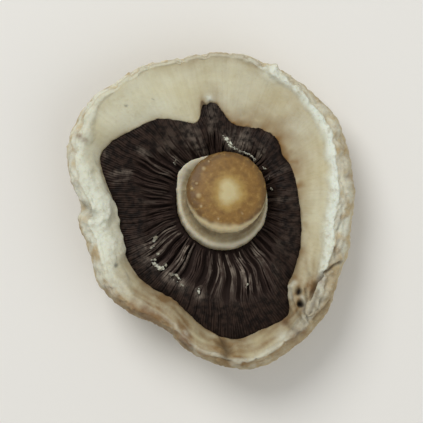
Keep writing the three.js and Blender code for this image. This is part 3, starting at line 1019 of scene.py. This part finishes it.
# Shreds of torn veil and dried flesh, caught on the gills beside the stem and along the cut.
scraps = {
    "shreds": (  # a line in plan, the size of its crumbs, how far apart and how dull they are
        (((1.4, 9), (1.7, 8.7)), 0.14, 0.1, 0.2), (((1.7, 8.7), (2.3, 7.9)), 0.22, 0.12, 0.05),
        (((2.3, 7.9), (3, 7.3)), 0.15, 0.12, 0.15),
        (((3, 7.4), (3.9, 7), (4.6, 6.7), (5.4, 6)), 0.14, 0.16, 0.4),
        (((6.2, 5.3), (6.4, 5)), 0.2, 0.2, 0.4), (((6.8, 4.2), (6.9, 3.8)), 0.2, 0.2, 0.4),
        (((7.1, 2.9), (7.1, 2.4)), 0.2, 0.2, 0.4), (((-6.9, -3.5), (-6.4, -3.1)), 0.3, 0.25, 0.5),
        (((-7.2, -4.3), (-6.8, -4.1)), 0.28, 0.25, 0.5), (((-6.5, -5), (-6.2, -5)), 0.26, 0.3, 0.45),
        (((-7.3, -5.8), (-6.7, -5.7)), 0.2, 0.25, 0.5), (((-7, -6.2), (-6.5, -6.4)), 0.26, 0.25, 0.35),
        (((-6.3, -6.7), (-5.6, -6.7)), 0.42, 0.3, 0.12), (((-5.5, -6.4), (-5.5, -6.1)), 0.2, 0.25, 0.4),
        (((-5.2, -7.4), (-4.7, -7.4)), 0.28, 0.25, 0.35), (((-4.2, -7.6), (-3.8, -7.9)), 0.26, 0.25, 0.4),
        (((-4.7, -8.2), (-4, -8.4)), 0.3, 0.3, 0.3), (((-3.6, -8.6), (-3.2, -8.9)), 0.16, 0.25, 0.5),
        (((-1.55, -9.1), (-1.4, -9.8)), 0.45, 0.3, 0.2), (((4.2, -8.6), (4.1, -8.9)), 0.16, 0.2, 0.5),
        (((-4.5, 5.5), (-4.3, 6.2)), 0.14, 0.25, 0.5),
    ),
    "scatter": 0.12, "uneven": 0.45, "flat": 0.35, "longer": 0.5, "crumple": 1.2, "curl": 0.4, "sunk": 0.12,
    "white": 0.6, "seed": 5,
}


def bedOf(point):  # how high the gills' edges stand at a place in plan
    radius, a = fromHub(point)
    t = (radius - gills["inner"]) / (gillEnd(a) - gills["inner"])
    return gillEdgeZ(min(1, max(0, t)), a)


def shapeCrumb(copy, centre, way, size, dull, seed):
    mask = masks(copy, fleshLook["masks"])
    for vertex in copy.data.vertices:
        ragged = 1 + scraps["crumple"] * noise.noise(vertex.co * 2.5 + Vector((seed, 0, 0)))
        crumb = vertex.co * size * ragged
        crumb.z *= scraps["flat"]
        crumb += way * crumb.dot(way) * scraps["longer"]
        crumb.z += scraps["curl"] * size * noise.noise(crumb * 3 + Vector((0, seed, 0)))
        vertex.co = (centre + crumb) * mm
        paint(mask, vertex.index, white=scraps["white"], crack=dull)


def makeScraps():
    draw = random.Random(scraps["seed"])
    bpy.ops.object.select_all(action="DESELECT")
    bpy.ops.mesh.primitive_ico_sphere_add(subdivisions=2, radius=0.5, location=(0, 0, 0))
    blank = bpy.context.object
    copies = []
    for line, size, step, dull in scraps["shreds"]:
        for start, end in zip(line, line[1:]):
            start = Vector((*start, 0))
            run = Vector((*end, 0)) - start
            count = max(1, round(run.length / step))
            for k in range(count):
                stray = Vector((draw.uniform(-1, 1), draw.uniform(-1, 1), 0)) * scraps["scatter"]
                centre = start + run * (k + 0.5) / count + stray
                centre.z = bedOf(centre) - draw.uniform(0, 2) * scraps["sunk"]
                copy = copyOf(blank)
                uneven = 1 + draw.uniform(-1, 1) * scraps["uneven"]
                darker = min(0.8, dull * draw.uniform(0.6, 1.7))
                shapeCrumb(copy, centre, run.normalized(), size * uneven, darker, draw.uniform(0, 50))
                copies.append(copy)
    bpy.data.objects.remove(blank)
    piece = joinAll("paleScraps", copies)
    finishPiece(piece, fleshMaterial)


stem = {
    "around": 96,
    "foot": (1.34, 0.88), "lean": (0.5, 1.8), "leanStart": 5.0, "tilt": 13,
    "profile": (  # radius and height, from the foot up
        (0, 3.8), (5.1, 3.8), (5.4, 4.2), (5.5, 4.6), (5.5, 5.9), (5.45, 6.4), (5.25, 6.62), (5, 6.62),
        (4.75, 6.6), (4.5, 6.75), (4.42, 7.3), (4.5, 7.9), (4.68, 8.4), (4.76, 8.75), (4.72, 9.05),
        (4.55, 9.25), (4.3, 9.42), (3.8, 9.56), (3, 9.68), (2, 9.77), (1, 9.84), (0.35, 9.88), (0, 9.9),
    ),
    "fibre": 0.07, "lump": 0.07, "faceRelief": 0.35,  # the last is a share, where the cut face is smoother
    "pith": (1.8, 2.35), "pithReach": 4.45,  # the pale pith's middle, and the cut face's reach from it
    "beads": (  # small pale bumps on the cut face: place in plan and radius
        ((-1.75, 3.3), 0.18), ((-0.9, 5.05), 0.28), ((-1.5, 1.85), 0.34), ((-2.3, 2.7), 0.2),
        ((-0.3, 5.9), 0.14), ((-1.2, 0.6), 0.2), ((3.6, -0.2), 0.15), ((0.8, -0.9), 0.16),
    ),
    "beadHeight": 0.1,
    "brims": (  # how the collar's brim strays from round: direction, width, reach and rise
        (142, 24, 1, 0.6), (-95, 40, 0.32, 0), (5, 30, -0.35, 0),
    ),
    "brimAt": (4.8, 3.4),  # middle and breadth of what strays, both counted along the profile
    "bands": {  # colours' middle and breadth, counted in the same way
        "brim": (5.5, 1.8), "groove": (9, 1.3), "seam": (11.3, 3.6),
    },
    "lipFrom": (11, 0.8), "faceFrom": (14.2, 1.6), "faceRough": 0.25,
    "uneven": {  # what isn't the same all round: direction, width and strength
        # out shifts the west side of the face towards its darker rim, as painted shade
        "out": ((178, 50, 0.13),), "face": ((45, 75, 2.4), (155, 45, 1.6), (-95, 48, -1.35)),
        "lip": ((172, 45, -0.8),), "groove": ((-30, 42, 0.6),), "seam": ((168, 45, 1),),
        "brim": ((-80, 60, 0.25), (165, 50, 0.65)),
    },
    "grooveDark": 0.25, "brimPale": 0.75,  # all round; the groove's darkening is painted shade
}


def stemShift(z):
    return max(0, (z - stem["leanStart"]) / (stem["profile"][-1][1] - stem["leanStart"]))


def stemPlace(station, a):
    radius, z = stem["profile"][round(station)]
    shift = stemShift(z)
    middle, breadth = stem["brimAt"]
    brim = max(0, 1 - abs(station - middle) / breadth)
    for direction, width, reach, rise in stem["brims"]:
        radius += reach * near(a, direction, width) * brim
        z += rise * near(a, direction, width) * brim
    leanX, leanY = stem["lean"]
    along = radius * math.cos(a - math.atan2(leanY, leanX))
    x = stem["foot"][0] + radius * math.cos(a) + leanX * shift
    y = stem["foot"][1] + radius * math.sin(a) + leanY * shift
    return x, y, z - math.sin(math.radians(stem["tilt"])) * along * shift


def carveStem(piece):
    mask = masks(piece, stemLook["masks"])
    normals = [vertex.normal.copy() for vertex in piece.data.vertices]
    middle = Vector((*stem["pith"], 0))
    lipStart, lipFade = stem["lipFrom"]
    faceStart, faceFade = stem["faceFrom"]
    for vertex, u, normal in zip(piece.data.vertices, acrossOf(piece), normals):
        point = vertex.co / mm
        radial = point - middle
        a = math.atan2(radial.y, radial.x)
        onSide = between(u, 1, 1.5, 13, 2)
        shift = stem["fibre"] * onSide * (ripple(a, u * 0.15, 0.5, 5) + 0.6 * ripple(a, u * 0.3, 0.25, 5))
        shift += stem["lump"] * (lump(point, 1.3) + 0.4 * lump(point, 0.5, 1)) * smooth(u / 3)
        shift *= mix(1, stem["faceRelief"], smooth((u - 16) / 1.5))
        beads = max(spot(point, place, radius) for place, radius in stem["beads"]) * smooth((u - 15) / 1)
        vertex.co += normal * (shift + stem["beadHeight"] * beads) * mm
        band = {name: smooth(1.1 - abs(u - at) / breadth) for name, (at, breadth) in stem["bands"].items()}
        uneven = {name: strays(a, table) for name, table in stem["uneven"].items()}
        rough = stem["faceRough"] * lump(point, 0.8, 2)
        # painted shade in the groove under the disc's lip and along its seam with the collar, darkest to the
        # south-east
        groove = band["groove"] * (stem["grooveDark"] + uneven["groove"])
        paint(
            mask,
            vertex.index,
            bead=beads,
            out=radial.xy.length / stem["pithReach"] + uneven["out"],
            face=smooth((u - faceStart + uneven["face"]) / faceFade + rough),
            lip=smooth((u - lipStart) / lipFade) * (1 + uneven["lip"]),
            groove=max(groove, band["seam"] * uneven["seam"]),
            brim=band["brim"] * (stem["brimPale"] + uneven["brim"]),
        )


def makeStem():
    stations = list(range(len(stem["profile"])))
    piece = tube("stemStub", stem["around"], len(stations))
    layOut(piece, stations, stemPlace)
    close(piece)
    subdivide(piece, 2)
    carveStem(piece)
    finishPiece(piece, stemMaterial)
    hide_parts("stem")


setting = {
    "floor": "#e9e7e1", "floorRoughness": 0.8,
    "floorSize": 3, "floorGap": 0.02 * mm,  # metres
    "lens": 200, "sensor": 36,  # millimetres
    "viewWidth": 50, "viewHeight": 8,  # millimetres across the picture, at this height in millimetres
    "keyPower": 2.8, "keyFrom": (-0.26, 0.38, 0.52), "keySize": 0.4,
    "fillPower": 1.35, "fillFrom": (0.45, -0.25, 0.55), "fillSize": 0.8,
    "skyStrength": 0.4,
}


def softLight(name, place, power, size):
    bpy.ops.object.light_add(type="AREA", location=place)
    light = bpy.context.object
    light.name = name
    light.data.energy = power
    light.data.shape = "DISK"
    light.data.size = size
    light.rotation_euler = (-Vector(place)).to_track_quat("-Z", "Y").to_euler()


def makeSetting():
    bpy.ops.object.select_all(action="DESELECT")
    bpy.ops.mesh.primitive_plane_add(size=setting["floorSize"], location=(0, 0, -setting["floorGap"]))
    floor = bpy.context.object
    floor.name = "paleFloor"
    material, tree = newMaterial("paleMattFloor")
    paint = {"Base Color": setting["floor"], "Roughness": setting["floorRoughness"]}
    surface = addNode(tree, "ShaderNodeBsdfPrincipled", inputs=paint)
    addNode(tree, "ShaderNodeOutputMaterial", inputs={"Surface": surface})
    floor.data.materials.append(material)

    softLight("key", setting["keyFrom"], setting["keyPower"], setting["keySize"])
    softLight("fill", setting["fillFrom"], setting["fillPower"], setting["fillSize"])
    world = bpy.data.worlds.new("softSky")
    bpy.context.scene.world = world
    world.use_nodes = True
    background = world.node_tree.nodes["Background"]
    background.inputs["Color"].default_value = (1, 1, 1, 1)
    background.inputs["Strength"].default_value = setting["skyStrength"]

    distance = setting["viewWidth"] * setting["lens"] / setting["sensor"]
    height = (distance + setting["viewHeight"]) * mm
    bpy.ops.object.camera_add(location=(0, 0, height), rotation=(0, 0, 0))
    camera = bpy.context.object
    camera.data.sensor_width = setting["sensor"]
    camera.data.lens = setting["lens"]
    camera.data.clip_start = 0.01
    bpy.context.scene.camera = camera
    bpy.context.scene.view_settings.view_transform = "Standard"
    print("setting ready")


makeSetting()
makeCap()
makeGills()
makeScraps()
makeStem()
